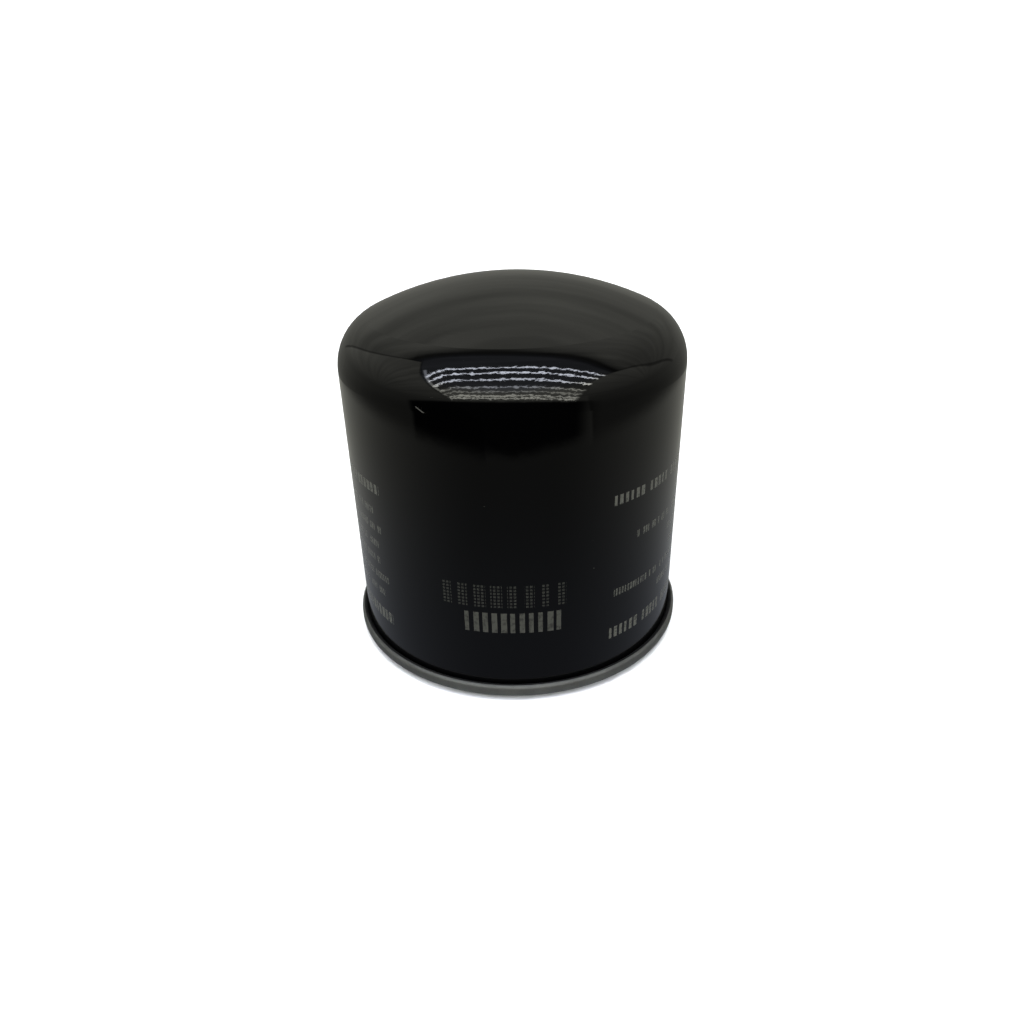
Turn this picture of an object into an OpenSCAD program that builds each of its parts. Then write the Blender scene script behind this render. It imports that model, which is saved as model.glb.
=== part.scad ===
// Spin-on oil filter, standing on its sealing gasket with the domed end up.
// The Z axis is the axis of the mounting thread and Z = 0 is the gasket's sealing face.
// Round pieces are drawn as half sections, with the radius across and the height up, and revolved.

/* [Can] */
// Outside diameter of the can's straight wall
can_d = 93; // [90:0.5:120]
// Height from the gasket's sealing face to the top of the crown
total_h = 100; // [80:1:220]
// Sheet thickness of the can
can_wall = 0.7; // [0.5:0.05:1]
// Outside radius of the shoulder between wall and crown
shoulder_r = 14.2; // [8:0.1:22]
// Outside radius of the crown
crown_r = 92; // [75:1:400]

/* [Rolled seam] */
// Sheet thickness of the seaming lid
lid_t = 0.55; // [0.4:0.05:0.8]
// Height of the rolled seam
seam_h = 3.8; // [3.4:0.1:6]
// Height of the seam's foot above the sealing face
seam_foot = 1; // [0.4:0.1:2]
// Gap between the folded layers, which the sealing compound wets
fold_gap = 0.05; // [0.02:0.01:0.1]

/* [Gasket] */
// Outside diameter of the gasket
gasket_od = 72; // [66:0.5:76]
// Width of the gasket between its two walls
gasket_w = 5; // [3.5:0.1:6]
// Height of the gasket
gasket_h = 5.6; // [4.6:0.1:8]
// How far the gasket stands out of its groove
gasket_proud = 3; // [2:0.1:3.6]
// Gap between the gasket and each wall of its groove
groove_gap = 0.1; // [0.05:0.05:0.3]
// Width of the hem turned in at the groove's inner wall
hem_w = 1.8; // [1.2:0.1:2.4]
// Chamfer on the gasket's edges
gasket_chamfer = 0.4; // [0.1:0.05:0.8]

/* [Tapping plate] */
// Thickness of the tapping plate
plate_t = 3.2; // [2.5:0.1:5]
// Diameter of the hole inside the thread, at the crests of its ridges
thread_minor_d = 17.46; // [14:0.01:28]
// Wall of the thread collar at its top
collar_wall = 2.6; // [2:0.1:4]
// Length of the thread collar above the plate
collar_h = 6.6; // [5:0.1:12]
// Diameter of each oil inlet hole
inlet_d = 8; // [5:0.1:9]
// Diameter of the circle of inlet holes
inlet_pcd = 44; // [40:0.5:45]
// Number of inlet holes
inlet_count = 8; // [4:1:8]
// Radial gap between the plate's rim and the can
plate_gap = 1.2; // [0.5:0.1:2]

/* [Anti-drain valve] */
// Wall of the rubber neck round the thread collar
neck_wall = 2.6; // [1.5:0.1:3]
// Height of the rubber neck
neck_h = 4.5; // [3.5:0.1:7]
// Thickness of the rubber skirt at its root
skirt_t = 1.3; // [0.8:0.1:1.6]
// Thickness of the rubber skirt at its lip
lip_t = 0.8; // [0.5:0.1:1.2]
// How far the lip reaches past the inlet holes
lip_overlap = 2.2; // [1:0.1:2.4]

/* [Filter element] */
// Gap between the element and the can's wall
oil_gap = 7.2; // [4:0.1:12]
// Outside diameter of the perforated centre tube
tube_d = 36; // [34:0.5:40]
// Wall of the centre tube
tube_wall = 0.5; // [0.4:0.1:0.8]
// Diameter of the tube's perforations
perforation_d = 4.5; // [3:0.1:6]
// Perforations in one ring of the tube
perforations_round = 8; // [4:2:10]
// Height between the rings of perforations
perforation_pitch = 8; // [7:0.5:12]
// Sheet thickness of the end caps
cap_t = 0.5; // [0.3:0.05:0.8]
// Height of the end caps' rims
cap_rim_h = 5; // [3:0.5:8]
// Depth of the adhesive in each end cap
potting_h = 1.6; // [1:0.1:3]
// Number of pleats
pleat_count = 60; // [30:1:64]
// Thickness of the filter paper
paper_t = 0.5; // [0.3:0.05:0.6]
// Gap between the element's upper rim and the dome over it
dome_gap = 6.5; // [3:0.5:12]

/* [Bypass valve] */
// Diameter of the bypass port in the upper end cap
port_d = 16; // [12:0.5:18]
// Sheet thickness of the cage
cage_t = 0.6; // [0.4:0.1:1]
// Thickness of the rubber seal
seal_t = 1.2; // [0.8:0.1:2]
// Thickness of the steel valve plate
valve_t = 1; // [0.8:0.1:1.5]
// Diameter of the valve stem
stem_d = 4; // [3:0.1:5]
// Travel of the bypass valve
valve_travel = 3.5; // [2:0.1:5]
// Wire diameter of the valve spring
wire_d = 1.3; // [1:0.1:1.6]
// Working turns of the valve spring
working_turns = 4; // [3:0.5:5]

/* [Hidden] */
$fn = 96;

rest_gap = 0.05;      // gap between pieces that only rest on each other
eps = 1;              // how far a cutting shape runs past what it cuts

// Can: the shoulder's arc meets the crown's arc and the straight wall without a corner.
can_r = can_d / 2;
can_inner_r = can_r - can_wall;
crown_z = total_h - crown_r;
shoulder_c = can_r - shoulder_r;
shoulder_z = crown_z + sqrt(pow(crown_r - shoulder_r, 2) - pow(shoulder_c, 2));
function crown_join_r(inset) = shoulder_c / (crown_r - shoulder_r) * (crown_r - inset);
// Height of the dome's inner face at radius r
function dome_under(r) = r < crown_join_r(can_wall)
    ? crown_z + sqrt(pow(crown_r - can_wall, 2) - pow(r, 2))
    : shoulder_z + sqrt(pow(shoulder_r - can_wall, 2) - pow(r - shoulder_c, 2));

// Rolled seam, from the inside out: chuck wall, can, lid hook, can hook, outer wall.
chuck_outer = can_inner_r - fold_gap;
lid_hook_in = can_r + fold_gap;
lid_hook_out = lid_hook_in + lid_t;
can_hook_in = lid_hook_out + fold_gap;
can_hook_out = can_hook_in + can_wall;
outer_in = can_hook_out + fold_gap;
seam_r = outer_in + lid_t;
fold_c = (can_r + can_hook_in) / 2;         // centre of the folds at the seam's foot
fold_z = seam_foot + seam_r - fold_c;
lid_fold_c = (lid_hook_out + outer_in) / 2; // centre of the lid's fold at the seam's top
lid_fold_z = seam_foot + seam_h - (seam_r - lid_fold_c);
hook_play = 0.1;                            // room between a hook's end and the fold it points at

// Lid, from the middle out: a hem, the gasket's groove, a panel and the chuck wall.
hem_z = gasket_proud;
groove_in = gasket_od / 2 - gasket_w - groove_gap - lid_t;
groove_out = gasket_od / 2 + groove_gap + lid_t;
lid_hole_r = groove_in - hem_w;
panel_rise = 0.5;
panel_z = hem_z + panel_rise;
lid_bend = 0.6;                             // bend radius at the middle of the sheet

// Tapping plate: it is welded to the roof of the lid's groove.
plate_z = gasket_h + lid_t;
plate_top = plate_z + plate_t;
plate_r = can_inner_r - plate_gap;
inlet_edge = (inlet_pcd + inlet_d) / 2;
thread_r = thread_minor_d / 2;
thread_chamfer = 1.2;
collar_r = thread_r + collar_wall;
collar_shoulder = 1.2;
collar_top = plate_top + collar_h;
shoulder_share = 0.58;                      // share of the collar's height that is the thick shoulder
collar_seat_z = plate_top + shoulder_share * collar_h;

// Anti-drain valve: the neck stands on the collar's shoulder and the lip rests on the plate.
neck_in = collar_r + rest_gap * 2;
neck_out = neck_in + neck_wall;
neck_z = collar_seat_z + rest_gap;
neck_top = neck_z + neck_h;
lip_r = inlet_edge + lip_overlap;
lip_z = plate_top + rest_gap;

// Filter element, from the lower end cap up.
element_r = can_inner_r - oil_gap;
lower_cap_z = neck_top + rest_gap;
upper_cap_top = dome_under(element_r) - dome_gap;
upper_cap_z = upper_cap_top - cap_t;
cap_hole_r = neck_in + 0.4;
cap_bend = 0.6;
tube_r = tube_d / 2;
tube_inner_r = tube_r - tube_wall;
potting_gap = 0.1;
potting_out = element_r - cap_t / 2 - cap_bend;
potting_in = tube_r + potting_gap;
media_z = lower_cap_z + cap_t + potting_h;
media_top = upper_cap_z - potting_h;
media_out = potting_out - 0.5;
media_in = potting_in + 0.5;
perforated_h = media_top - media_z - 2 * perforation_pitch;
perforation_rings = floor(perforated_h / perforation_pitch) + 1;

// Bypass valve: the port's turned-down lip is the seat, and the seal closes on it from below.
port_r = port_d / 2;
seat_z = upper_cap_z - 1.3;
seal_overlap = 2.5;
seal_r = port_r + seal_overlap;
valve_r = seal_r + 0.5;
cage_gap = 1;
cage_in = valve_r + cage_gap;
cage_out = cage_in + cage_t;
cage_flange_r = tube_inner_r - 0.8;
cage_top = upper_cap_z - rest_gap;
cage_windows = 4;
window_w = 9;
window_margin = 4;
stem_r = stem_d / 2;
stem_slide = 0.1;
stem_head_r = stem_r + 2.4;
stem_head_h = 0.9;
seal_top = seat_z - rest_gap;
valve_top = seal_top - seal_t;
valve_bottom = valve_top - valve_t;

// Valve spring: closed turns at both ends and an even pitch between them. Its length with the
// valve shut leaves room for the valve's travel before the turns close up.
coil_r = 7.2;
spigot_r = coil_r - wire_d / 2 - 0.4;
spigot_h = 1.5;
end_turns = 1;
coil_turns = working_turns + 2 * end_turns;
travel_reserve = 2.4;                       // spring length in hand, as a multiple of the travel
spring_l = (coil_turns + 1) * wire_d + travel_reserve * valve_travel;
cage_floor = valve_bottom - spring_l;
cage_h = cage_top - cage_floor;
coil_play = 0.02;
coil_z = cage_floor + wire_d / 2 + coil_play;
coil_top = valve_bottom - wire_d / 2 - coil_play;
end_pitch = wire_d + coil_play;
working_pitch = (coil_top - coil_z - 2 * end_turns * end_pitch) / working_turns;
steps_per_turn = 20;
wire_sides = 8;

// Stem and clip
clip_t = 0.5;
clip_z = cage_floor - cage_t - 0.3;
stem_bottom = clip_z - clip_t - 1.2;

// Hold-down spring: a flat ring on the element and bowed legs against the crown.
leaf_t = 0.8;
leaf_w = 10;
leaf_count = 4;
leaf_ring_in = port_r + 3;
leaf_ring_out = leaf_ring_in + 8;
leaf_crest_r = leaf_ring_out + 12;
leaf_tip_r = leaf_crest_r + 4;
leaf_steps = 10;

// ---- Half sections ----

// Rectangle from radius a to b and height c to d
module slab(a, b, c, d) {
    translate([a, c]) square([b - a, d - c]);
}

// Quarter ring of sheet, of middle radius r and thickness t, on one side of its centre
module bend(centre, r, t, out, up) {
    reach = r + t;
    translate(centre) intersection() {
        difference() {
            circle(r + t / 2);
            circle(r - t / 2);
        }
        translate([out > 0 ? 0 : -reach, up > 0 ? 0 : -reach]) square(reach);
    }
}

// What lies inside the can's shape once it is drawn in by inset, down to height z
module can_inside(inset, z) {
    slab(0, can_r - inset, z, shoulder_z);
    translate([shoulder_c, shoulder_z]) circle(shoulder_r - inset);
    intersection() {
        translate([0, crown_z]) circle(crown_r - inset);
        slab(0, crown_join_r(inset), shoulder_z, total_h);
    }
}

// Ring of sheet with a corner, such as an end cap's disc and rim: the disc lies at height z to z + t
// from radius a to b, and the rim reaches from it to height end
module rimmed_disc(a, b, z, t, end) {
    up = end > z ? 1 : -1;
    flat_c = up > 0 ? z + t / 2 + cap_bend : z + t / 2 - cap_bend;
    slab(a, b - t / 2 - cap_bend, z, z + t);
    bend([b - t / 2 - cap_bend, flat_c], cap_bend, t, 1, -up);
    slab(b - t, b, min(flat_c, end), max(flat_c, end));
}

// ---- Shell ----

module can() {
    color("#101112") rotate_extrude() {
        difference() {
            can_inside(0, fold_z);
            can_inside(can_wall, fold_z - eps);
        }
        bend([fold_c, fold_z], fold_c - can_inner_r - can_wall / 2, can_wall, -1, -1);
        bend([fold_c, fold_z], fold_c - can_inner_r - can_wall / 2, can_wall, 1, -1);
        slab(can_hook_in, can_hook_out, fold_z, lid_fold_z - hook_play);
    }
}

module seaming_lid() {
    mid = lid_t / 2;
    foot_r = seam_r - fold_c - mid;
    top_r = seam_r - lid_fold_c - mid;
    hem_mid = hem_z + mid;
    panel_mid = panel_z + mid;
    roof_mid = gasket_h + mid;
    chuck_mid = chuck_outer - mid;
    color("#8a8b84") rotate_extrude() {
        slab(lid_hole_r, groove_in + mid - lid_bend, hem_z, hem_z + lid_t);
        bend([groove_in + mid - lid_bend, hem_mid + lid_bend], lid_bend, lid_t, 1, -1);
        slab(groove_in, groove_in + lid_t, hem_mid + lid_bend, roof_mid - lid_bend);
        bend([groove_in + mid + lid_bend, roof_mid - lid_bend], lid_bend, lid_t, -1, 1);
        slab(groove_in + mid + lid_bend, groove_out - mid - lid_bend, gasket_h, plate_z);
        bend([groove_out - mid - lid_bend, roof_mid - lid_bend], lid_bend, lid_t, 1, 1);
        slab(groove_out - lid_t, groove_out, panel_mid + lid_bend, roof_mid - lid_bend);
        bend([groove_out - mid + lid_bend, panel_mid + lid_bend], lid_bend, lid_t, -1, -1);
        slab(groove_out - mid + lid_bend, chuck_mid - lid_bend, panel_z, panel_z + lid_t);
        bend([chuck_mid - lid_bend, panel_mid - lid_bend], lid_bend, lid_t, 1, 1);
        slab(chuck_outer - lid_t, chuck_outer, fold_z, panel_mid - lid_bend);
        bend([fold_c, fold_z], foot_r, lid_t, -1, -1);
        bend([fold_c, fold_z], foot_r, lid_t, 1, -1);
        slab(outer_in, seam_r, fold_z, lid_fold_z);
        bend([lid_fold_c, lid_fold_z], top_r, lid_t, 1, 1);
        bend([lid_fold_c, lid_fold_z], top_r, lid_t, -1, 1);
        slab(lid_hook_in, lid_hook_out, fold_z + hook_play, lid_fold_z);
    }
}

// Ring of sealing compound in the pocket over the can's hook
module seam_sealant() {
    color("#6d7466") rotate_extrude()
        slab(can_hook_in + fold_gap, can_hook_out - fold_gap, lid_fold_z, lid_fold_z + 0.2);
}

module gasket() {
    a = gasket_od / 2 - gasket_w;
    b = gasket_od / 2;
    c = gasket_chamfer;
    color("#1b1b1b") rotate_extrude()
        polygon([[a + c, 0], [b - c, 0], [b, c], [b, gasket_h - c], [b - c, gasket_h],
                 [a + c, gasket_h], [a, gasket_h - c], [a, c]]);
}

// ---- Tapping plate and anti-drain valve ----

module tapping_plate() {
    edge = 0.6;
    color("#9a9a90") difference() {
        rotate_extrude() polygon([
            [thread_r + thread_chamfer, plate_z], [plate_r - edge, plate_z],
            [plate_r, plate_z + edge], [plate_r, plate_top - edge], [plate_r - edge, plate_top],
            [collar_r + collar_shoulder, plate_top],
            [collar_r + collar_shoulder, collar_seat_z], [collar_r, collar_seat_z],
            [collar_r, collar_top - edge], [collar_r - edge, collar_top],
            [thread_r + thread_chamfer / 2, collar_top],
            [thread_r, collar_top - thread_chamfer / 2],
            [thread_r, plate_z + thread_chamfer]]);
        for (i = [0 : inlet_count - 1])
            rotate([0, 0, (i + 0.5) * 360 / inlet_count])
                translate([inlet_pcd / 2, 0, plate_z - eps])
                    cylinder(d = inlet_d, h = plate_t + 2 * eps);
    }
}

module anti_drain_valve() {
    root_z = neck_z + skirt_t;
    bead = 0.4;
    color("#23211f") rotate_extrude() polygon([
        [neck_in, neck_z], [neck_out, neck_z],
        [lip_r - lip_t, lip_z + bead], [lip_r - lip_t, lip_z],
        [lip_r, lip_z], [lip_r + bead, lip_z + bead], [lip_r, lip_z + bead + lip_t],
        [neck_out + skirt_t, root_z], [neck_out, root_z + skirt_t],
        [neck_out, neck_top], [neck_in, neck_top]]);
}

// ---- Filter element ----

module lower_end_cap() {
    color("#b3b3a6") rotate_extrude()
        rimmed_disc(cap_hole_r, element_r, lower_cap_z, cap_t, lower_cap_z + cap_rim_h);
}

// The port's lip turns down to make the bypass valve's seat.
module upper_end_cap() {
    lip_bend_c = [port_r + cap_t / 2 + cap_bend, upper_cap_z + cap_t / 2 - cap_bend];
    color("#b3b3a6") rotate_extrude() {
        rimmed_disc(lip_bend_c[0], element_r, upper_cap_z, cap_t, upper_cap_top - cap_rim_h);
        bend(lip_bend_c, cap_bend, cap_t, -1, 1);
        slab(port_r, port_r + cap_t, seat_z, lip_bend_c[1]);
    }
}

// Ring of adhesive between heights a and b
module potting(a, b) {
    color("#c9a66b") rotate_extrude() slab(potting_in, potting_out, a, b);
}

module lower_potting() {
    potting(lower_cap_z + cap_t, media_z);
}

module upper_potting() {
    potting(media_top, upper_cap_z);
}

// Perforated tube, with every second ring of holes turned by half a step
module centre_tube() {
    low = lower_cap_z + cap_t;
    first = (media_z + media_top - (perforation_rings - 1) * perforation_pitch) / 2;
    step = 360 / perforations_round;
    color("#a8aaa6") difference() {
        rotate_extrude() slab(tube_inner_r, tube_r, low, upper_cap_z);
        for (ring = [0 : perforation_rings - 1], i = [0 : perforations_round - 1])
            rotate([0, 0, (i + 0.25 + (ring % 2) / 2) * step])
                translate([tube_inner_r - eps, 0, first + ring * perforation_pitch])
                    rotate([0, 90, 0]) cylinder(d = perforation_d, h = tube_wall + 2 * eps);
    }
}

function polar(r, a) = [r * cos(a), r * sin(a)];

// One side of the folded paper: it runs between radius a, over the folds at the rim, and radius b,
// at the folds by the tube, and a fold is wide_a or wide_b across
function fold_line(a, wide_a, b, wide_b) = [
    for (i = [0 : pleat_count - 1])
        let (at = i * 360 / pleat_count, half = 180 / pleat_count,
             da = wide_a / a * 90 / PI, db = wide_b / b * 90 / PI)
        each [polar(a, at - da), polar(a, at + da),
              polar(b, at + half - db), polar(b, at + half + db)]
];

module pleated_media() {
    crease = 0.1;
    color("#d8c08a") translate([0, 0, media_z]) linear_extrude(media_top - media_z)
        difference() {
            polygon(fold_line(media_out, 2 * paper_t, media_in + paper_t, crease));
            polygon(fold_line(media_out - paper_t, crease, media_in, 2 * paper_t));
        }
}

// Folded steel strip that grips the two ends of the paper along one pleat
module media_seam_clip() {
    strip_t = 0.25;
    grip = 6;
    half = paper_t + 0.45;
    outer = media_out + rest_gap;
    color("#b8bab8") translate([0, 0, media_z + rest_gap])
        linear_extrude(media_top - media_z - 2 * rest_gap) difference() {
            translate([outer - grip, -half - strip_t]) square([grip + strip_t, 2 * (half + strip_t)]);
            translate([outer - grip - eps, -half]) square([grip + eps, 2 * half]);
        }
}

// ---- Bypass valve ----

module bypass_cage() {
    window_h = cage_h - 2 * window_margin;
    color("#a3a59e") difference() {
        rotate_extrude() {
            slab(cage_in, cage_flange_r, cage_top - cage_t, cage_top);
            slab(cage_in, cage_out, cage_floor - cage_t, cage_top);
            slab(stem_r + stem_slide, cage_out, cage_floor - cage_t, cage_floor);
            slab(spigot_r - cage_t, spigot_r, cage_floor - cage_t, cage_floor + spigot_h);
        }
        for (i = [0 : cage_windows - 1])
            rotate([0, 0, i * 360 / cage_windows])
                translate([cage_in - eps, -window_w / 2, cage_floor + window_margin])
                    cube([cage_t + 2 * eps, window_w, window_h]);
    }
}

function coil_height(turn) =
    turn < end_turns ? coil_z + turn * end_pitch :
    turn > coil_turns - end_turns ? coil_top - (coil_turns - turn) * end_pitch :
    coil_z + end_turns * end_pitch + (turn - end_turns) * working_pitch;

module bypass_spring() {
    rings = coil_turns * steps_per_turn;
    points = [
        for (i = [0 : rings], k = [0 : wire_sides - 1])
            let (turn = i / steps_per_turn, side = k * 360 / wire_sides,
                 r = coil_r + wire_d / 2 * cos(side))
            [r * cos(turn * 360), r * sin(turn * 360), coil_height(turn) + wire_d / 2 * sin(side)]
    ];
    walls = [
        for (i = [0 : rings - 1], k = [0 : wire_sides - 1])
            let (a = i * wire_sides, b = a + wire_sides, n = (k + 1) % wire_sides)
            [a + k, a + n, b + n, b + k]
    ];
    start = [for (k = [wire_sides - 1 : -1 : 0]) k];
    end = [for (k = [0 : wire_sides - 1]) rings * wire_sides + k];
    color("#77797c") polyhedron(points, [start, each walls, end]);
}

module bypass_seal() {
    color("#2a2522") rotate_extrude()
        slab(stem_r + stem_slide, seal_r, valve_top, seal_top);
}

// Disc with a spigot under it that centres the spring
module bypass_plate() {
    color("#b0b2ae") rotate_extrude() {
        slab(stem_r + stem_slide, valve_r, valve_bottom, valve_top);
        slab(spigot_r - valve_t, spigot_r, valve_bottom - spigot_h, valve_top);
    }
}

// Pin whose flat head holds the seal on the plate and whose foot slides in the cage
module bypass_stem() {
    tip = 0.6;
    color("#8f9194") rotate_extrude() polygon([
        [0, stem_bottom], [stem_r - tip, stem_bottom], [stem_r, stem_bottom + tip],
        [stem_r, seal_top], [stem_head_r, seal_top], [stem_head_r, seal_top + stem_head_h / 2],
        [stem_head_r - stem_head_h / 2, seal_top + stem_head_h], [0, seal_top + stem_head_h]]);
}

// Push-on clip that keeps the stem in the cage
module stem_clip() {
    color("#5f6164") rotate_extrude()
        slab(stem_r + stem_slide / 2, stem_r + 2.5, clip_z - clip_t, clip_z);
}

// ---- Hold-down spring ----

// Height of the middle of a leg at radius r: a smooth rise to the crest and a short fall past it
function leaf_height(r) =
    let (low = upper_cap_top + rest_gap + leaf_t / 2,
         crest_edge = norm([leaf_crest_r, leaf_w / 2]),
         high = dome_under(crest_edge) - rest_gap - leaf_t,
         rise = min(1, max(0, (r - leaf_ring_out + 2) / (leaf_crest_r - leaf_ring_out + 2))),
         past = max(0, r - leaf_crest_r))
    low + (high - low) * rise * rise * (3 - 2 * rise) - past * past * 0.12;

module hold_down_spring() {
    start = leaf_ring_out - 3;
    radii = [for (i = [0 : leaf_steps + 3])
        start + (leaf_tip_r - start) * i / (leaf_steps + 3)];
    top = [for (r = radii) [r, leaf_height(r) + leaf_t / 2]];
    under = [for (i = [len(radii) - 1 : -1 : 0]) [radii[i], leaf_height(radii[i]) - leaf_t / 2]];
    color("#6f7173") union() {
        rotate_extrude() slab(leaf_ring_in, leaf_ring_out,
                              upper_cap_top + rest_gap, upper_cap_top + rest_gap + leaf_t);
        for (i = [0 : leaf_count - 1])
            rotate([0, 0, (i + 0.5) * 360 / leaf_count])
                translate([0, leaf_w / 2, 0]) rotate([90, 0, 0])
                    linear_extrude(leaf_w) polygon(concat(top, under));
    }
}

can();
seaming_lid();
seam_sealant();
gasket();
tapping_plate();
anti_drain_valve();
lower_end_cap();
lower_potting();
centre_tube();
pleated_media();
media_seam_clip();
upper_potting();
upper_end_cap();
bypass_cage();
bypass_spring();
bypass_plate();
bypass_seal();
bypass_stem();
stem_clip();
hold_down_spring();
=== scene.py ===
import math

import bmesh
import bpy
from mathutils import Matrix, Vector


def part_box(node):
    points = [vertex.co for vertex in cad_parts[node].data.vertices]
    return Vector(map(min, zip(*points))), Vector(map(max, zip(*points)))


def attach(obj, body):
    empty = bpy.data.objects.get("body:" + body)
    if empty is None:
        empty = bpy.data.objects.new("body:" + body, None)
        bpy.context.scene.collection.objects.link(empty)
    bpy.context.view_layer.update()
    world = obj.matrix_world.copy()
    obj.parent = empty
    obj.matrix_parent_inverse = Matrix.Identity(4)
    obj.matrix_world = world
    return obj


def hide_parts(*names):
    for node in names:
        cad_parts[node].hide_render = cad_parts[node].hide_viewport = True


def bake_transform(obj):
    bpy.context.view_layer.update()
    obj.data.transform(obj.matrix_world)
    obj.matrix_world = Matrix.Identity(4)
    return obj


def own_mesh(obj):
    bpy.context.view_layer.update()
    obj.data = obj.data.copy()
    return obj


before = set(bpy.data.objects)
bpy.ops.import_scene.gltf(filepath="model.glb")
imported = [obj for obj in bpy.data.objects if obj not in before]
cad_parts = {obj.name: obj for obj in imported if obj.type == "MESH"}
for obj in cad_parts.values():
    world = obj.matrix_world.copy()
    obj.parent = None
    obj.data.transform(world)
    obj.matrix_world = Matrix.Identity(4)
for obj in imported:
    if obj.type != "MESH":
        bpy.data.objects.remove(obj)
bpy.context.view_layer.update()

# ---- Camera ----
# The filter stands on its gasket, and the camera looks down at it from close by.

AIM_HEIGHT = 0.045
CAMERA_DISTANCE = 0.22466
CAMERA_ELEVATION = math.radians(24.92)
AIM_RIGHT, AIM_UP = -0.0049, -0.0559
CAMERA_ROLL = -0.0262
LENS_MM, SENSOR_MM = 27.02, 36.0

look = Vector((0, math.cos(CAMERA_ELEVATION), -math.sin(CAMERA_ELEVATION)))
lift = Vector((0, math.sin(CAMERA_ELEVATION), math.cos(CAMERA_ELEVATION)))
forward = (look + AIM_RIGHT * Vector((1, 0, 0)) + AIM_UP * lift).normalized()
across = forward.cross(Vector((0, 0, 1))).normalized()
upward = across.cross(forward)
camera_x = across * math.cos(CAMERA_ROLL) + upward * math.sin(CAMERA_ROLL)
camera_y = upward * math.cos(CAMERA_ROLL) - across * math.sin(CAMERA_ROLL)

camera_data = bpy.data.cameras.new("camera")
camera_data.lens, camera_data.sensor_width = LENS_MM, SENSOR_MM
camera_data.clip_start, camera_data.clip_end = 0.005, 20
camera = bpy.data.objects.new("camera", camera_data)
camera.matrix_world = Matrix.Translation(
    Vector((0, 0, AIM_HEIGHT)) - CAMERA_DISTANCE * look
) @ Matrix((camera_x, camera_y, -forward)).transposed().to_4x4()
bpy.context.scene.collection.objects.link(camera)
bpy.context.scene.camera = camera
bpy.context.scene.view_settings.view_transform = "Standard"
bpy.context.scene.view_settings.look = "None"


# ---- Studio ----
# A pale floor that curves up into a pale wall all round, under a soft box. Shiny pieces reflect a
# plain room instead: pale walls, a ceiling with a bank of thin lamps, and a pale table with
# somebody in dark clothes in front of it.


class Sock:
    """A shader socket or a number, with arithmetic that adds the nodes for it."""

    def __init__(self, tree, value):
        self.tree, self.value = tree, value

    def math(self, operation, *others):
        return node(self.tree, "ShaderNodeMath", {"operation": operation}, [self, *others])

    def __add__(self, other):
        return self.math("ADD", other)

    def __sub__(self, other):
        return self.math("SUBTRACT", other)

    def __rsub__(self, other):
        return node(self.tree, "ShaderNodeMath", {"operation": "SUBTRACT"}, [other, self])

    def __mul__(self, other):
        return self.math("MULTIPLY", other)

    def __truediv__(self, other):
        return self.math("DIVIDE", other)

    def __pow__(self, other):
        return self.math("POWER", other)

    def __lt__(self, other):
        return self.math("LESS_THAN", other)

    def __gt__(self, other):
        return self.math("GREATER_THAN", other)

    def __abs__(self):
        return self.math("ABSOLUTE")

    __radd__ = __add__
    __rmul__ = __mul__

    def lowest(self, other):
        return self.math("MINIMUM", other)

    def highest(self, other):
        return self.math("MAXIMUM", other)

    def step(self, low, high):
        """0 below low and 1 above high, with a smooth rise between; low may be the larger."""
        if low > high:
            return 1 - self.step(high, low)
        return node(
            self.tree, "ShaderNodeMapRange", {"interpolation_type": "SMOOTHSTEP"},
            {"Value": self, "From Min": low, "From Max": high},
        )

    def band(self, middle, half, soft):
        """1 within half of the middle, falling to 0 over soft."""
        return abs(self - middle).step(half + soft, half)


def node(tree, kind, settings=None, inputs=None, output=0):
    """Adds a node: settings are its properties, and inputs its sockets' values or links."""
    made = tree.nodes.new(kind)
    for name, value in (settings or {}).items():
        if name == "ramp_steps":
            made.color_ramp.interpolation = value
        elif name == "stops":
            ramp = made.color_ramp
            while len(ramp.elements) < len(value):
                ramp.elements.new(1.0)
            for element, (at, colour) in zip(ramp.elements, value):
                element.position, element.color = at, (*colour, 1)
        else:
            setattr(made, name, value)
    items = inputs.items() if isinstance(inputs, dict) else enumerate(inputs or [])
    for name, value in items:
        source = value.value if isinstance(value, Sock) else value
        if isinstance(source, bpy.types.NodeSocket):
            tree.links.new(source, made.inputs[name])
        else:
            made.inputs[name].default_value = source
    return Sock(tree, made.outputs[output]) if made.outputs else made


def pick(tree, factor, first, second):
    """Colour that goes from first to second as factor goes from 0 to 1."""
    colours = [c if isinstance(c, Sock) else (*c, 1) for c in (first, second)]
    return node(
        tree, "ShaderNodeMix", {"data_type": "RGBA"}, {0: factor, 6: colours[0], 7: colours[1]}, 2
    )


def parts_of(tree, vector):
    split = tree.nodes.new("ShaderNodeSeparateXYZ")
    tree.links.new(vector.value, split.inputs[0])
    return [Sock(tree, out) for out in split.outputs]


world = bpy.data.worlds.new("studio")
bpy.context.scene.world = world
world.use_nodes = True
sky = world.node_tree
sky.nodes.clear()
DEG = 180 / math.pi
toward = node(sky, "ShaderNodeTexCoord", {}, {}, "Generated")
wx, wy, wz = parts_of(sky, toward)
height = wz.math("ARCSINE") * DEG  # of a direction above the horizon
swing = wx.math("ARCTAN2", wy * -1) * DEG  # round from the front, which is 0
turn = wz.math("ARCTAN2", wy * -1) * DEG  # up from the level front and over the lamps to the back
side = abs(swing)

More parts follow.
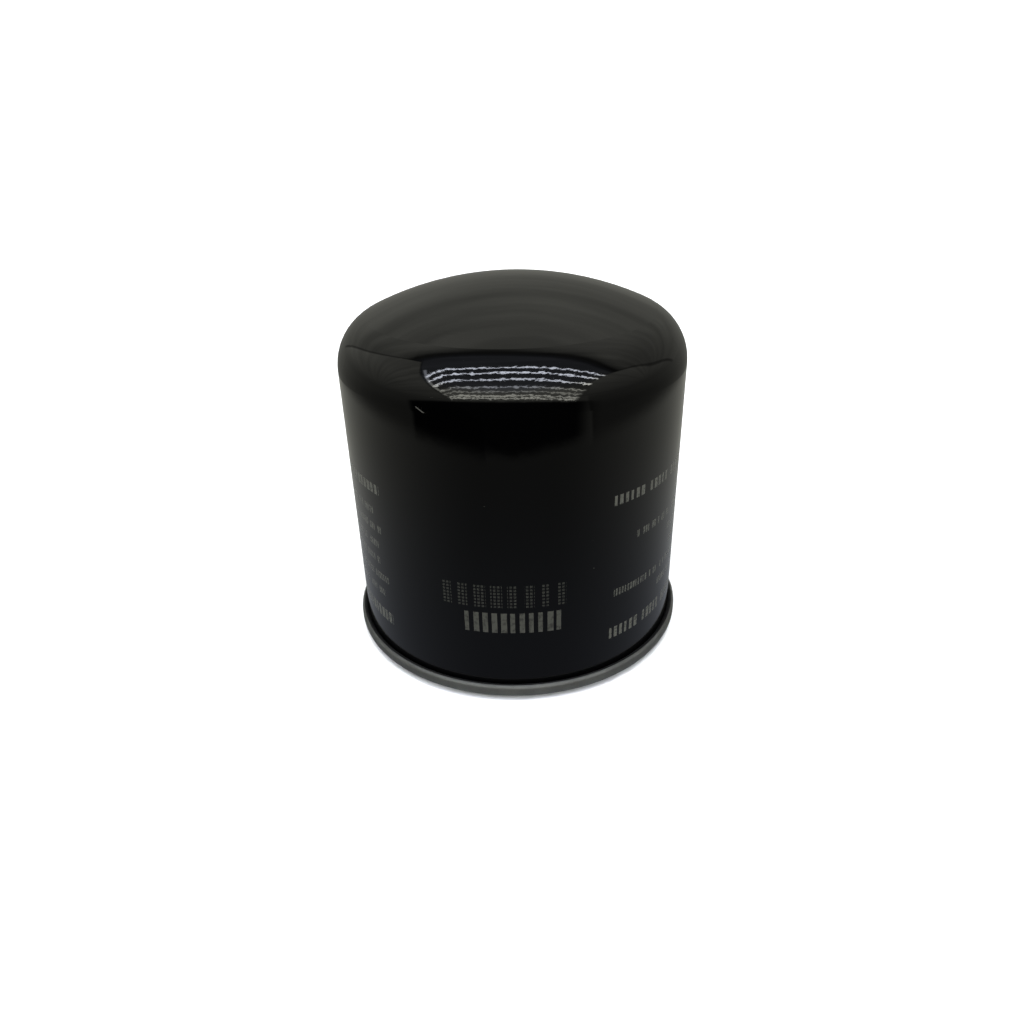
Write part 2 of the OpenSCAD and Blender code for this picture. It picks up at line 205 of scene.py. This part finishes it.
# Curves that part the room: over the lamps, and where each side wall meets the ceiling
arc = 101.5 - wx * 15 - wx * wx * 36
left_edge = ((abs(turn - 92.5) - 42.5) / 40) ** 2 * 0.135 - 0.765
right_edge = (0.945 - ((turn - 125) / 61) ** 2 * 0.115).highest(0.72)
behind = turn - arc
ahead = behind.step(3, -3)
at_left = (wx - left_edge).step(0.008, -0.008)
at_right = (wx - right_edge).step(-0.012, 0.012)
beside = (at_left + at_right).lowest(1)
far_wall = 0.22 + 0.08 * height.step(4, 30) + 0.24 * height.step(26, 58)
far_wall = far_wall * (0.25 + 0.75 * behind.step(1, 20))
near_wall = 0.10 + 0.06 * height.step(-15, 2) + 0.12 * height.step(0, 12) + 0.18 * height.step(8, 30)
near_wall = near_wall + 0.06 * side.step(95, 150)
ceiling = 0.21 + 0.05 * turn.step(70, 40)
room = (ceiling * ahead + far_wall * (1 - ahead)) * (1 - beside) + near_wall * beside
rim = (wx - left_edge).band(0, 0.004, 0.014) + (wx - right_edge).band(0, 0.004, 0.014)
room = room * (1 - 0.55 * rim * turn.step(60, 68) * height.step(-4, 4))
room = room * (1 - 0.62 * behind.band(1, 2.5, 5) * (1 - beside))

# The table, with a soft far edge, and the dark shape of somebody in front of it
table_edge = (side / 150) ** 1.3 * 7 - 24.3
table_far = 0.10 + 0.25 * side.step(20, 135)
table_near = 0.132 + 0.09 * side.step(20, 120)
near = height.step(-26, -38)
table = table_far * (1 - near) + table_near * near
on_table = (height - table_edge).step(0.8, -0.8)
light = room * (1 - on_table) + table * on_table
figure_top = 9 - (swing + 8) * (swing + 8) * 0.0038
figure = (height - figure_top).step(2.5, -2.5) * swing.step(-68, -64) * swing.step(58, 38)
light = light * (1 - 0.97 * figure * (1 - on_table))
light = light + 0.6 * height.step(-52, -64)  # a pale stand right under the filter

# The lamps: thin tubes side by side across the ceiling, whose ends meet in a bent one at the left
LAMPS = (
    (73, 0.7, 12), (63, 0.7, 13), (50, 0.7, 11), (36, 0.7, 4), (27.5, 0.6, 2.6), (20, 0.8, 4.5),
    (15.5, 0.6, 5),
)  # place and half width in degrees, and brightness
ripple = node(
    sky, "ShaderNodeTexNoise", {}, {"Vector": toward, "Scale": 20.0, "Detail": 3.0, "Roughness": 0.6}
) - 0.5
tilted = turn + wx.highest(0) ** 2 * 30 + (wx * -1 - 0.5).highest(0) ** 2 * 260 + ripple * 13
spread = (wx - left_edge).step(0.015, 0.05) * (wx - 0.62 - turn * 0.0033).step(0.02, -0.04)
lamps = (wx - left_edge).band(0.035, 0.006, 0.012) * turn.band(52, 22, 3) * 2.2
lamps = tilted.band(25, 9, 8) * spread * 0.45 + lamps
for at_turn, half, power in LAMPS:
    lamps = tilted.band(at_turn, half, half * 1.2) * spread * power + lamps
glint = (height + 12 + (swing + 62) * 0.95).band(0, 0.2, 0.5) * swing.band(-58.5, 3, 1)
streaks = node(
    sky, "ShaderNodeTexNoise", {},
    {
        "Vector": node(sky, "ShaderNodeCombineXYZ", {}, [turn * 0.13, wx * 1.2, 0.0]),
        "Scale": 1.0, "Detail": 3.0,
    },
)
light = light * (1 + (streaks - 0.5) * height.step(-5, 20))
light = light + (lamps * (1 - at_right) + glint * 3)
warm = pick(sky, height.step(-40, -20), (0.93, 1.0, 1.15), (1.0, 1.0, 0.89))
tint = pick(sky, ahead * (1 - beside) * height.step(20, 40), warm, (0.95, 1.0, 1.13))
glow = node(sky, "ShaderNodeVectorMath", {"operation": "SCALE"}, {"Vector": tint, "Scale": light})
seen = node(sky, "ShaderNodeLightPath", {}, {}, "Is Camera Ray")
BACKDROP = (0.8, 0.8, 0.8)  # what shows past the floor from below
glow = pick(sky, seen, glow, BACKDROP)
node(sky, "ShaderNodeOutputWorld", {}, [node(sky, "ShaderNodeBackground", {}, [glow, 1.0])])

FLOOR_R, CURVE_R, WALL_TOP, CURVE_STEPS, FLOOR_STEPS = 0.9, 0.6, 2.4, 12, 72
sweep = bmesh.new()
corner = [Vector((0, 0, 0)), Vector((FLOOR_R, 0, 0))]
for i in range(1, CURVE_STEPS + 1):
    a = math.radians(90 * i / CURVE_STEPS)
    corner.append(Vector((FLOOR_R + CURVE_R * math.sin(a), 0, CURVE_R * (1 - math.cos(a)))))
corner.append(Vector((FLOOR_R + CURVE_R, 0, WALL_TOP)))
line = [sweep.verts.new(p) for p in corner]
edges = [sweep.edges.new(pair) for pair in zip(line, line[1:])]
bmesh.ops.spin(
    sweep, geom=line + edges, axis=(0, 0, 1), cent=(0, 0, 0),
    angle=math.tau, steps=FLOOR_STEPS, use_merge=True,
)
bmesh.ops.remove_doubles(sweep, verts=sweep.verts, dist=1e-6)
floor_mesh = bpy.data.meshes.new("floor")
sweep.to_mesh(floor_mesh)
sweep.free()
for face in floor_mesh.polygons:
    face.use_smooth = True
floor = bpy.data.objects.new("floor", floor_mesh)
bpy.context.scene.collection.objects.link(floor)
floor.visible_glossy = False
floor.visible_diffuse = False
floor.visible_shadow = False
floor.visible_transmission = False
pale = bpy.data.materials.new("pale_floor")
pale.use_nodes = True
pale.node_tree.nodes["Principled BSDF"].inputs["Base Color"].default_value = (0.9, 0.9, 0.9, 1)
pale.node_tree.nodes["Principled BSDF"].inputs["Roughness"].default_value = 0.9
pale.node_tree.nodes["Principled BSDF"].inputs["Specular IOR Level"].default_value = 0.0
pale_tree = pale.node_tree
above = Sock(pale_tree, pale_tree.nodes["Principled BSDF"].outputs[0])
clear = node(pale_tree, "ShaderNodeBsdfTransparent")
under = node(pale_tree, "ShaderNodeNewGeometry", {}, {}, "Backfacing")  # so that it hides nothing from below
mixed = node(pale_tree, "ShaderNodeMixShader", {}, [under, above, clear])
pale_tree.links.new(mixed.value, pale_tree.nodes["Material Output"].inputs[0])
floor_mesh.materials.append(pale)

soft_box_data = bpy.data.lights.new("soft_box", "AREA")
SOFT_BOX_SIZE, SOFT_BOX_WATTS, SOFT_BOX_HEIGHT = 1.6, 50, 1.9
soft_box_data.size, soft_box_data.energy = SOFT_BOX_SIZE, SOFT_BOX_WATTS
soft_box = bpy.data.objects.new("soft_box", soft_box_data)
soft_box.location = (0, 0, SOFT_BOX_HEIGHT)
soft_box.visible_glossy = False
soft_box.visible_camera = False
bpy.context.scene.collection.objects.link(soft_box)


# ---- Can ----
# Deep-drawn steel shell, sprayed and baked with gloss black enamel. The coat is a little uneven, with
# faint rings on the dome left by the press tool, and carries plain printed bars in pale ink.

PAINT_BLACK, DUST, INK, FAINT_INK = (0.0004, 0.0004, 0.0005), (0.03, 0.03, 0.026), (0.12, 0.12, 0.10), 0.30
FIRST_ROW, ROW_PITCH, ROW_HALF, ROWS = 22.4, 5.0, 1.05, 6  # of the small printed rows, in mm
INDENTS = (0.40, 0.02, 0.55, 0.50, 0.17, 0.63)  # of each small row's start, as a share of 60 degrees
LEFT_BLOCK, RIGHT_BLOCK = (-112, -47.5), (31, 104)  # degrees round from the front


def finish_of(name, settings):
    """New material whose shader has these constant values; returns it with its tree and shader."""
    material = bpy.data.materials.new(name)
    material.use_nodes = True
    shader = material.node_tree.nodes["Principled BSDF"]
    for socket, value in settings.items():
        shader.inputs[socket].default_value = value
    return material, material.node_tree, shader


def drive(tree, shader, socket, value):
    tree.links.new(value.value, shader.inputs[socket])


def place(tree):
    """Object coordinates."""
    return node(tree, "ShaderNodeTexCoord", {}, {}, "Object")


def vector(tree, *values):
    return node(tree, "ShaderNodeCombineXYZ", {}, list(values))


def noise(tree, where, scale, detail=2.0, roughness=0.5):
    return node(
        tree, "ShaderNodeTexNoise", {},
        {"Vector": where, "Scale": scale, "Detail": detail, "Roughness": roughness},
    )


def specks(tree, where, scale, size):
    """1 in round spots of that size, as a share of the cell, one to a cell."""
    return node(tree, "ShaderNodeTexVoronoi", {"feature": "F1"}, {"Vector": where, "Scale": scale}) < size


def bump(tree, height, distance):
    return node(tree, "ShaderNodeBump", {}, {"Height": height, "Strength": 1.0, "Distance": distance})


def radius_of(tree, where):
    x, y, _ = parts_of(tree, where)
    return (x * x + y * y) ** 0.5


enamel, t, s = finish_of("black_enamel", {"IOR": 1.5})
at = place(t)
x, y, z = parts_of(t, at)
up_mm = z * 1000
round_deg = x.math("ARCTAN2", y * -1) * DEG
on_wall = radius_of(t, at) > 0.046


def chance(cell, seed):
    """Fixed random number from 0 to 1 for each whole number."""
    return node(t, "ShaderNodeTexWhiteNoise", {"noise_dimensions": "2D"}, [vector(t, cell, seed, 0.0)])


def bars(start, pitch, seed, gaps):
    """Plain upright bars of uneven width, of that pitch in degrees. Gaps is the share that is left out."""
    across = (round_deg - start) * (1 / pitch)
    cell = across.math("FLOOR")
    return (across.math("FRACT") < chance(cell, seed) * 0.3 + 0.42) * (chance(cell, seed + 0.3) > gaps)


def between(low, high):
    """1 between two heights in mm."""
    return up_mm.band((low + high) / 2, (high - low) / 2 - 0.04, 0.08)


def along(start, end):
    """1 between two angles in degrees."""
    return round_deg.band((start + end) / 2, (end - start) / 2, 0.15)


left, right = along(*LEFT_BLOCK), along(*RIGHT_BLOCK)
ink = bars(-17, 2.9, 1.0, 0.1) * along(-17, 14.3) * between(20.8, 26.8) * 0.62
dots = ((up_mm * 1.02).math("FRACT") < 0.62) * ((round_deg * 0.8 + 40).math("FRACT") < 0.62)
ink = bars(-24, 5.2, 2.0, 0.24) * along(-24, 22.7) * between(28.5, 35.2) * dots * FAINT_INK + ink
ink = bars(LEFT_BLOCK[0], 2.3, 3.0, 0.15) * (left + right) * (between(13.2, 16.6) + between(53, 55.7)) + ink
row = (up_mm - (FIRST_ROW - ROW_HALF)) * (1 / ROW_PITCH)  # small rows, each with its own start and words
in_row = (row.math("FRACT") * ROW_PITCH).band(ROW_HALF, ROW_HALF - 0.04, 0.08) * (row > 0) * (row < ROWS)
stops = [(i / 8, (share, share, share)) for i, share in enumerate(INDENTS)]
indent = node(t, "ShaderNodeValToRGB", {"ramp_steps": "CONSTANT", "stops": stops}, [row * (1 / 8)]) * 60
small = left * (round_deg < LEFT_BLOCK[1] - indent * 0.13) + right * (round_deg > RIGHT_BLOCK[0] + indent)
words = bars(LEFT_BLOCK[0], 1.25, row.math("FLOOR") + 9, 0.24)
ink = words * small * in_row * 0.85 + ink
worn = noise(t, at, 900.0, 2.0).step(0.30, 0.55)
ink = (ink * on_wall * (0.55 + 0.45 * worn)).lowest(1)
dust = specks(t, at, 120.0, 0.022) * noise(t, at, 30.0).step(0.5, 0.6)
coat = pick(t, dust, PAINT_BLACK, DUST)
drive(t, s, "Base Color", pick(t, ink, coat, INK))
drive(t, s, "Roughness", noise(t, at, 60.0) * 0.02 + 0.03 + ink * 0.30)
rings = noise(t, vector(t, radius_of(t, at), 0.0, 0.0), 420.0, 2.0) * (1 - on_wall)
peel = noise(t, at, 420.0, 1.0)
drive(t, s, "Normal", bump(t, peel * 0.30 + rings * 1.5 + noise(t, at, 70.0) * 1.2 + ink * 0.6, 0.000008))


def paint(node_name, material):
    """Gives a CAD node its material."""
    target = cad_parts[node_name]
    if not target.material_slots:
        target.data.materials.append(material)
    for slot in target.material_slots:
        slot.material = material


paint("can", enamel)


# ---- Rolled seam and lid ----
# Thin zinc-plated sheet with the gasket's groove pressed into it, rolled together with the can's rim.
# The plating is dull, with fine marks round it where the rollers ran and a few scuffs.


def around(tree, where, share=0.03):
    """Coordinates in which a pattern is drawn out round the filter's axis."""
    x, y, z = parts_of(tree, where)
    return vector(tree, radius_of(tree, where), z, x.math("ARCTAN2", y) * share)


def drawn_out(x, y, z):
    """Coordinates in which a pattern is drawn out along the axes whose share is small."""
    return lambda tree, where: node(tree, "ShaderNodeMapping", {}, {"Vector": where, "Scale": (x, y, z)})


def sheet_metal(name, dark, light, rough, spread, grain, scale, depth=0.000004, painted=None):
    """Metal with a cloudy colour, grain along its working direction, and small pits. Painted gives the
    mask of painted shade: black, non-metal colour that stands in for shade."""
    material, tree, shader = finish_of(name, {"Metallic": 1.0})
    where = place(tree)
    lines = noise(tree, grain(tree, where), scale, 5.0, 0.65)
    cloud = noise(tree, where, 140.0, 3.0, 0.6)
    pits = specks(tree, where, 900.0, 0.10)
    mix = (lines * 0.55 + cloud * 0.75 - 0.15).highest(0).lowest(1)
    colour = pick(tree, mix * (1 - 0.5 * pits), dark, light)
    # painted shade: where the mask is 1, the metal is coloured black and made non-metal in place of real
    # shade
    if painted:
        painted_shade = painted(tree, where)
        colour = pick(tree, painted_shade, colour, PAINT_BLACK)
        drive(tree, shader, "Metallic", 1 - painted_shade)
    drive(tree, shader, "Base Color", colour)
    drive(tree, shader, "Roughness", cloud * spread + lines * spread + (rough - spread))
    drive(tree, shader, "Normal", bump(tree, lines + cloud * 0.5 - pits * 0.4, depth))
    return material


low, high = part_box("seaming_lid")
# inner edge, and lowest height, of the band of painted shade in the groove at the seam's top
GROOVE_SHADE_EDGE, SEAM_SHOULDER = high.x - 0.00075, 0.0039


def painted_groove_shade(tree, where):
    """Painted shade: a black, non-metal band at the seam's top, standing in for the shade in the groove
    between the can's wall and the seam.
    """
    _, _, z = parts_of(tree, where)
    return radius_of(tree, where).band(GROOVE_SHADE_EDGE - 0.0006, 0.0006, 0.00006) * (z > SEAM_SHOULDER)


# the lid gets a black band of painted shade in the groove at the top of its seam
dull_zinc = sheet_metal(
    "dull_zinc", (0.11, 0.112, 0.105), (0.28, 0.282, 0.262), 0.70, 0.10, around, 2600.0, painted=painted_groove_shade
)
paint("seaming_lid", dull_zinc)


# ---- Seam sealant ----
# Ring of solvent-borne compound run into the lid before rolling, squeezed into the fold and cured to
# a grey-green rubbery film with small bubbles.

compound, t, s = finish_of("seam_compound", {"Specular IOR Level": 0.35})
at = place(t)
bubbles = specks(t, at, 1400.0, 0.16)
drive(t, s, "Base Color", pick(t, noise(t, at, 500.0, 3.0), (0.11, 0.13, 0.10), (0.21, 0.23, 0.18)))
drive(t, s, "Roughness", noise(t, at, 300.0) * 0.2 + 0.55)
drive(t, s, "Normal", bump(t, noise(t, at, 1600.0) + bubbles * 0.6, 0.00003))
paint("seam_sealant", compound)


# ---- Gasket ----
# Square-cut ring of black nitrile rubber, moulded and held in the lid's groove by its own grip. It is
# wiped with oil, has fine lathe marks round it from cutting, and a dusting of talc in places.


def rubber(name, black, bloom, rough, grain, scale):
    material, tree, shader = finish_of(name, {"Specular IOR Level": 0.4})
    where = place(tree)
    lines = noise(tree, grain(tree, where), scale, 4.0, 0.6)
    cloud = noise(tree, where, 110.0, 4.0, 0.6)
    drive(tree, shader, "Base Color", pick(tree, cloud.step(0.48, 0.75), black, bloom))
    drive(tree, shader, "Roughness", lines * 0.16 + cloud * 0.14 + (rough - 0.15))
    fine = noise(tree, where, 2600.0, 2.0)
    drive(tree, shader, "Normal", bump(tree, lines + fine * 0.5, 0.000012))
    return material


paint("gasket", rubber("gasket_rubber", (0.010, 0.010, 0.010), (0.040, 0.040, 0.038), 0.48, around, 1500.0))


# ---- Tapping plate ----
# Thick pressed steel disc with a flanged collar, phosphated and oiled, which carries the mounting
# thread and lets oil in through a ring of punched holes. The lid is welded to it. The thread is cut
# through the collar: a ridge of 60 degree form that climbs 16 turns to the inch.

PITCH, THREAD_ROOT, THREAD_CREST = 0.0254 / 16, 0.0254 * 0.375, 0.00873
RIDGE_STEPS = 48
SUNK, CLEAR, RIDGE_START = 0.00006, 0.00001, 0.0006  # of the ridge in the wall, off it, and up from the foot


def copy_of(node_name):
    """Merged copy of a CAD node's mesh, to work on."""
    mesh = bmesh.new()
    mesh.from_mesh(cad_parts[node_name].data)
    bmesh.ops.remove_doubles(mesh, verts=mesh.verts, dist=2e-7)
    return mesh


def piece_of(name, mesh, material, sharp=30):
    """Object made from a bmesh, with edges sharper than that many degrees kept crisp."""
    bmesh.ops.recalc_face_normals(mesh, faces=mesh.faces)
    data = bpy.data.meshes.new(name)
    mesh.to_mesh(data)
    mesh.free()
    for face in data.polygons:
        face.use_smooth = True
    data.set_sharp_from_angle(angle=math.radians(sharp))
    data.materials.append(material)
    piece = bpy.data.objects.new(name, data)
    bpy.context.scene.collection.objects.link(piece)
    return piece


phosphate = sheet_metal(
    "phosphated_steel", (0.085, 0.080, 0.070), (0.26, 0.245, 0.21), 0.46, 0.14, around, 1900.0, 0.000006
)
low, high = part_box("tapping_plate")
plate = copy_of("tapping_plate")
for vert in plate.verts:
    reach = math.hypot(vert.co.x, vert.co.y)
    if reach < THREAD_CREST + 0.00002:
        vert.co.x *= THREAD_ROOT / reach
        vert.co.y *= THREAD_ROOT / reach
    elif reach < THREAD_ROOT and vert.co.z > high.z - 0.0001:
        vert.co.x *= (THREAD_ROOT + 0.0001) / reach
        vert.co.y *= (THREAD_ROOT + 0.0001) / reach
ridge = []
for reach, rise in (
    (THREAD_ROOT + SUNK, -0.45), (THREAD_ROOT - CLEAR, -0.40), (THREAD_CREST, -0.09),
    (THREAD_CREST, 0.09), (THREAD_ROOT - CLEAR, 0.40), (THREAD_ROOT + SUNK, 0.45),
):  # half outlines of the ridge, in turns of the thread
    ridge.append(plate.verts.new((reach, 0, low.z + RIDGE_START + (rise + 0.45) * PITCH)))
loop = [plate.edges.new(pair) for pair in zip(ridge, ridge[1:] + ridge[:1])]
turns = (high.z - low.z - RIDGE_START - 0.9 * PITCH) / PITCH
steps = round(turns * RIDGE_STEPS)
made = bmesh.ops.spin(
    plate, geom=ridge + loop, axis=(0, 0, 1), cent=(0, 0, 0), dvec=(0, 0, PITCH / RIDGE_STEPS),
    angle=math.tau * steps / RIDGE_STEPS, steps=steps,
)
last = [e for e in made["geom_last"] if isinstance(e, bmesh.types.BMEdge)]
bmesh.ops.contextual_create(plate, geom=loop)
bmesh.ops.contextual_create(plate, geom=last)
for vert in plate.verts:  # the lead-in cut at each end of the thread takes the ridge down with it
    reach = math.hypot(vert.co.x, vert.co.y)
    if reach < THREAD_ROOT - CLEAR and vert.co.z < high.z:
        at_foot = THREAD_CREST + low.z + 0.0012 - vert.co.z
        at_top = THREAD_CREST + vert.co.z - high.z + 0.0006
        wanted = min(max(reach, at_foot, at_top), THREAD_ROOT)
        vert.co.x *= wanted / reach
        vert.co.y *= wanted / reach
threaded_plate = piece_of("threaded_plate", plate, phosphate)
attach(threaded_plate, "filter")
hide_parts("tapping_plate")
paint("tapping_plate", phosphate)


# ---- Anti-drain valve ----
# One moulding of brown-black nitrile rubber: a neck that grips the thread collar, and a thin skirt
# whose lip rests on the plate past the oil holes.

valve_rubber = rubber("valve_rubber", (0.016, 0.011, 0.009), (0.045, 0.034, 0.028), 0.42, around, 800.0)
low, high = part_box("anti_drain_valve")
diaphragm = piece_of("drain_valve_diaphragm", copy_of("anti_drain_valve"), valve_rubber, 40)
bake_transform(diaphragm)
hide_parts("anti_drain_valve")
paint("anti_drain_valve", valve_rubber)


# ---- Filter element ----
# Folded paper between two tinned end caps, round a perforated steel tube. The caps are pressed, the
# tube is rolled from punched strip, and both ends of the paper are set in cured adhesive.

tinned = sheet_metal(
    "tinned_steel", (0.36, 0.35, 0.31), (0.62, 0.61, 0.55), 0.34, 0.10,
    drawn_out(0.04, 1, 1), 1600.0, 0.000002,
)
paint("lower_end_cap", tinned)
paint("upper_end_cap", tinned)
strip = sheet_metal(
    "cold_rolled_strip", (0.28, 0.29, 0.28), (0.52, 0.53, 0.52), 0.32, 0.10, drawn_out(1, 1, 0.03), 1500.0
)
for name in ("centre_tube", "bypass_cage", "bypass_plate"):
    paint(name, strip)

adhesive, t, s = finish_of("cured_adhesive", {"Subsurface Weight": 0.1})
s.inputs["Subsurface Radius"].default_value = (0.0008, 0.0004, 0.0002)
at = place(t)
bubbles = specks(t, at, 500.0, 0.16)
cloud = noise(t, at, 90.0, 4.0)
drive(t, s, "Base Color", pick(t, cloud.highest(bubbles * 0.9), (0.42, 0.24, 0.08), (0.68, 0.47, 0.20)))
drive(t, s, "Roughness", cloud * 0.2 + 0.28)
drive(t, s, "Normal", bump(t, noise(t, at, 250.0, 3.0) + bubbles * 0.5, 0.00008))
paint("lower_potting", adhesive)
paint("upper_potting", adhesive)

paper, t, s = finish_of("resin_paper", {"Specular IOR Level": 0.25})
at = place(t)
fibres = noise(t, drawn_out(1, 1, 0.35)(t, at), 1500.0, 6.0, 0.7)
crepe = noise(t, drawn_out(0.12, 0.12, 1)(t, at), 1400.0, 3.0, 0.55)
shade = (fibres * 0.6 + crepe * 0.6 + noise(t, at, 60.0) * 0.3 - 0.25).highest(0).lowest(1)
drive(t, s, "Base Color", pick(t, shade, (0.50, 0.33, 0.13), (0.80, 0.64, 0.36)))
drive(t, s, "Roughness", fibres * 0.15 + 0.78)
drive(t, s, "Normal", bump(t, crepe + fibres * 0.4, 0.00010))
paint("pleated_media", paper)

clip_steel = sheet_metal(
    "bright_strip", (0.38, 0.38, 0.37), (0.62, 0.62, 0.61), 0.30, 0.08,
    drawn_out(1, 1, 0.02), 1800.0, 0.000002,
)
paint("media_seam_clip", clip_steel)


# ---- Bypass valve ----
# A steel disc faced with rubber, which a coil spring holds up against the port's lip. The stem is a
# turned pin with a push-on clip, and the spring is wound from oil-tempered wire with closed ends.

paint("bypass_seal", valve_rubber)
paint("bypass_stem", sheet_metal(
    "turned_steel", (0.19, 0.20, 0.21), (0.42, 0.43, 0.44), 0.30, 0.08, drawn_out(0.02, 0.02, 1), 5200.0
))
tempered = sheet_metal(
    "oil_tempered_wire", (0.07, 0.07, 0.075), (0.25, 0.25, 0.26), 0.38, 0.10, around, 3000.0, 0.000002
)
paint("stem_clip", tempered)
paint("bypass_spring", tempered)

WIRE_R, CLOSED_TURNS, WORKING_TURNS, COIL_STEPS, CLOSED_PITCH = 0.00065, 1, 4, 40, 0.00132
low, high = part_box("bypass_spring")
coil_rise = high.z - low.z - 2 * WIRE_R
working_pitch = (coil_rise - 2 * CLOSED_TURNS * CLOSED_PITCH) / WORKING_TURNS
coil = bmesh.new()
wire = bmesh.ops.create_circle(coil, segments=14, radius=WIRE_R)["verts"]
stand = Matrix.Translation((high.x - WIRE_R, 0, low.z + WIRE_R)) @ Matrix.Rotation(math.pi / 2, 4, "X")
bmesh.ops.transform(coil, matrix=stand, verts=wire)
grown = wire + list(coil.edges)
first = list(coil.edges)
closed, working = (CLOSED_TURNS, CLOSED_PITCH), (WORKING_TURNS, working_pitch)
for turns, pitch in (closed, working, closed):
    grown = bmesh.ops.spin(
        coil, geom=grown, axis=(0, 0, 1), cent=(0, 0, 0), dvec=(0, 0, pitch / COIL_STEPS),
        angle=math.tau * turns, steps=turns * COIL_STEPS,
    )["geom_last"]
bmesh.ops.contextual_create(coil, geom=first)
bmesh.ops.contextual_create(coil, geom=[e for e in grown if isinstance(e, bmesh.types.BMEdge)])
coil_spring = piece_of("bypass_coil_spring", coil, tempered, 40)
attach(coil_spring, "filter")
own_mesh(coil_spring)
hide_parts("bypass_spring")


# ---- Hold-down spring ----
# Flat spring pressed from blued steel: a ring that sits on the element, and four bowed legs that push
# against the dome and keep the element down on the valve.

blued = sheet_metal(
    "blued_spring_steel", (0.045, 0.055, 0.085), (0.16, 0.15, 0.16), 0.33, 0.10, drawn_out(1, 0.05, 1), 1300.0
)
paint("hold_down_spring", blued)
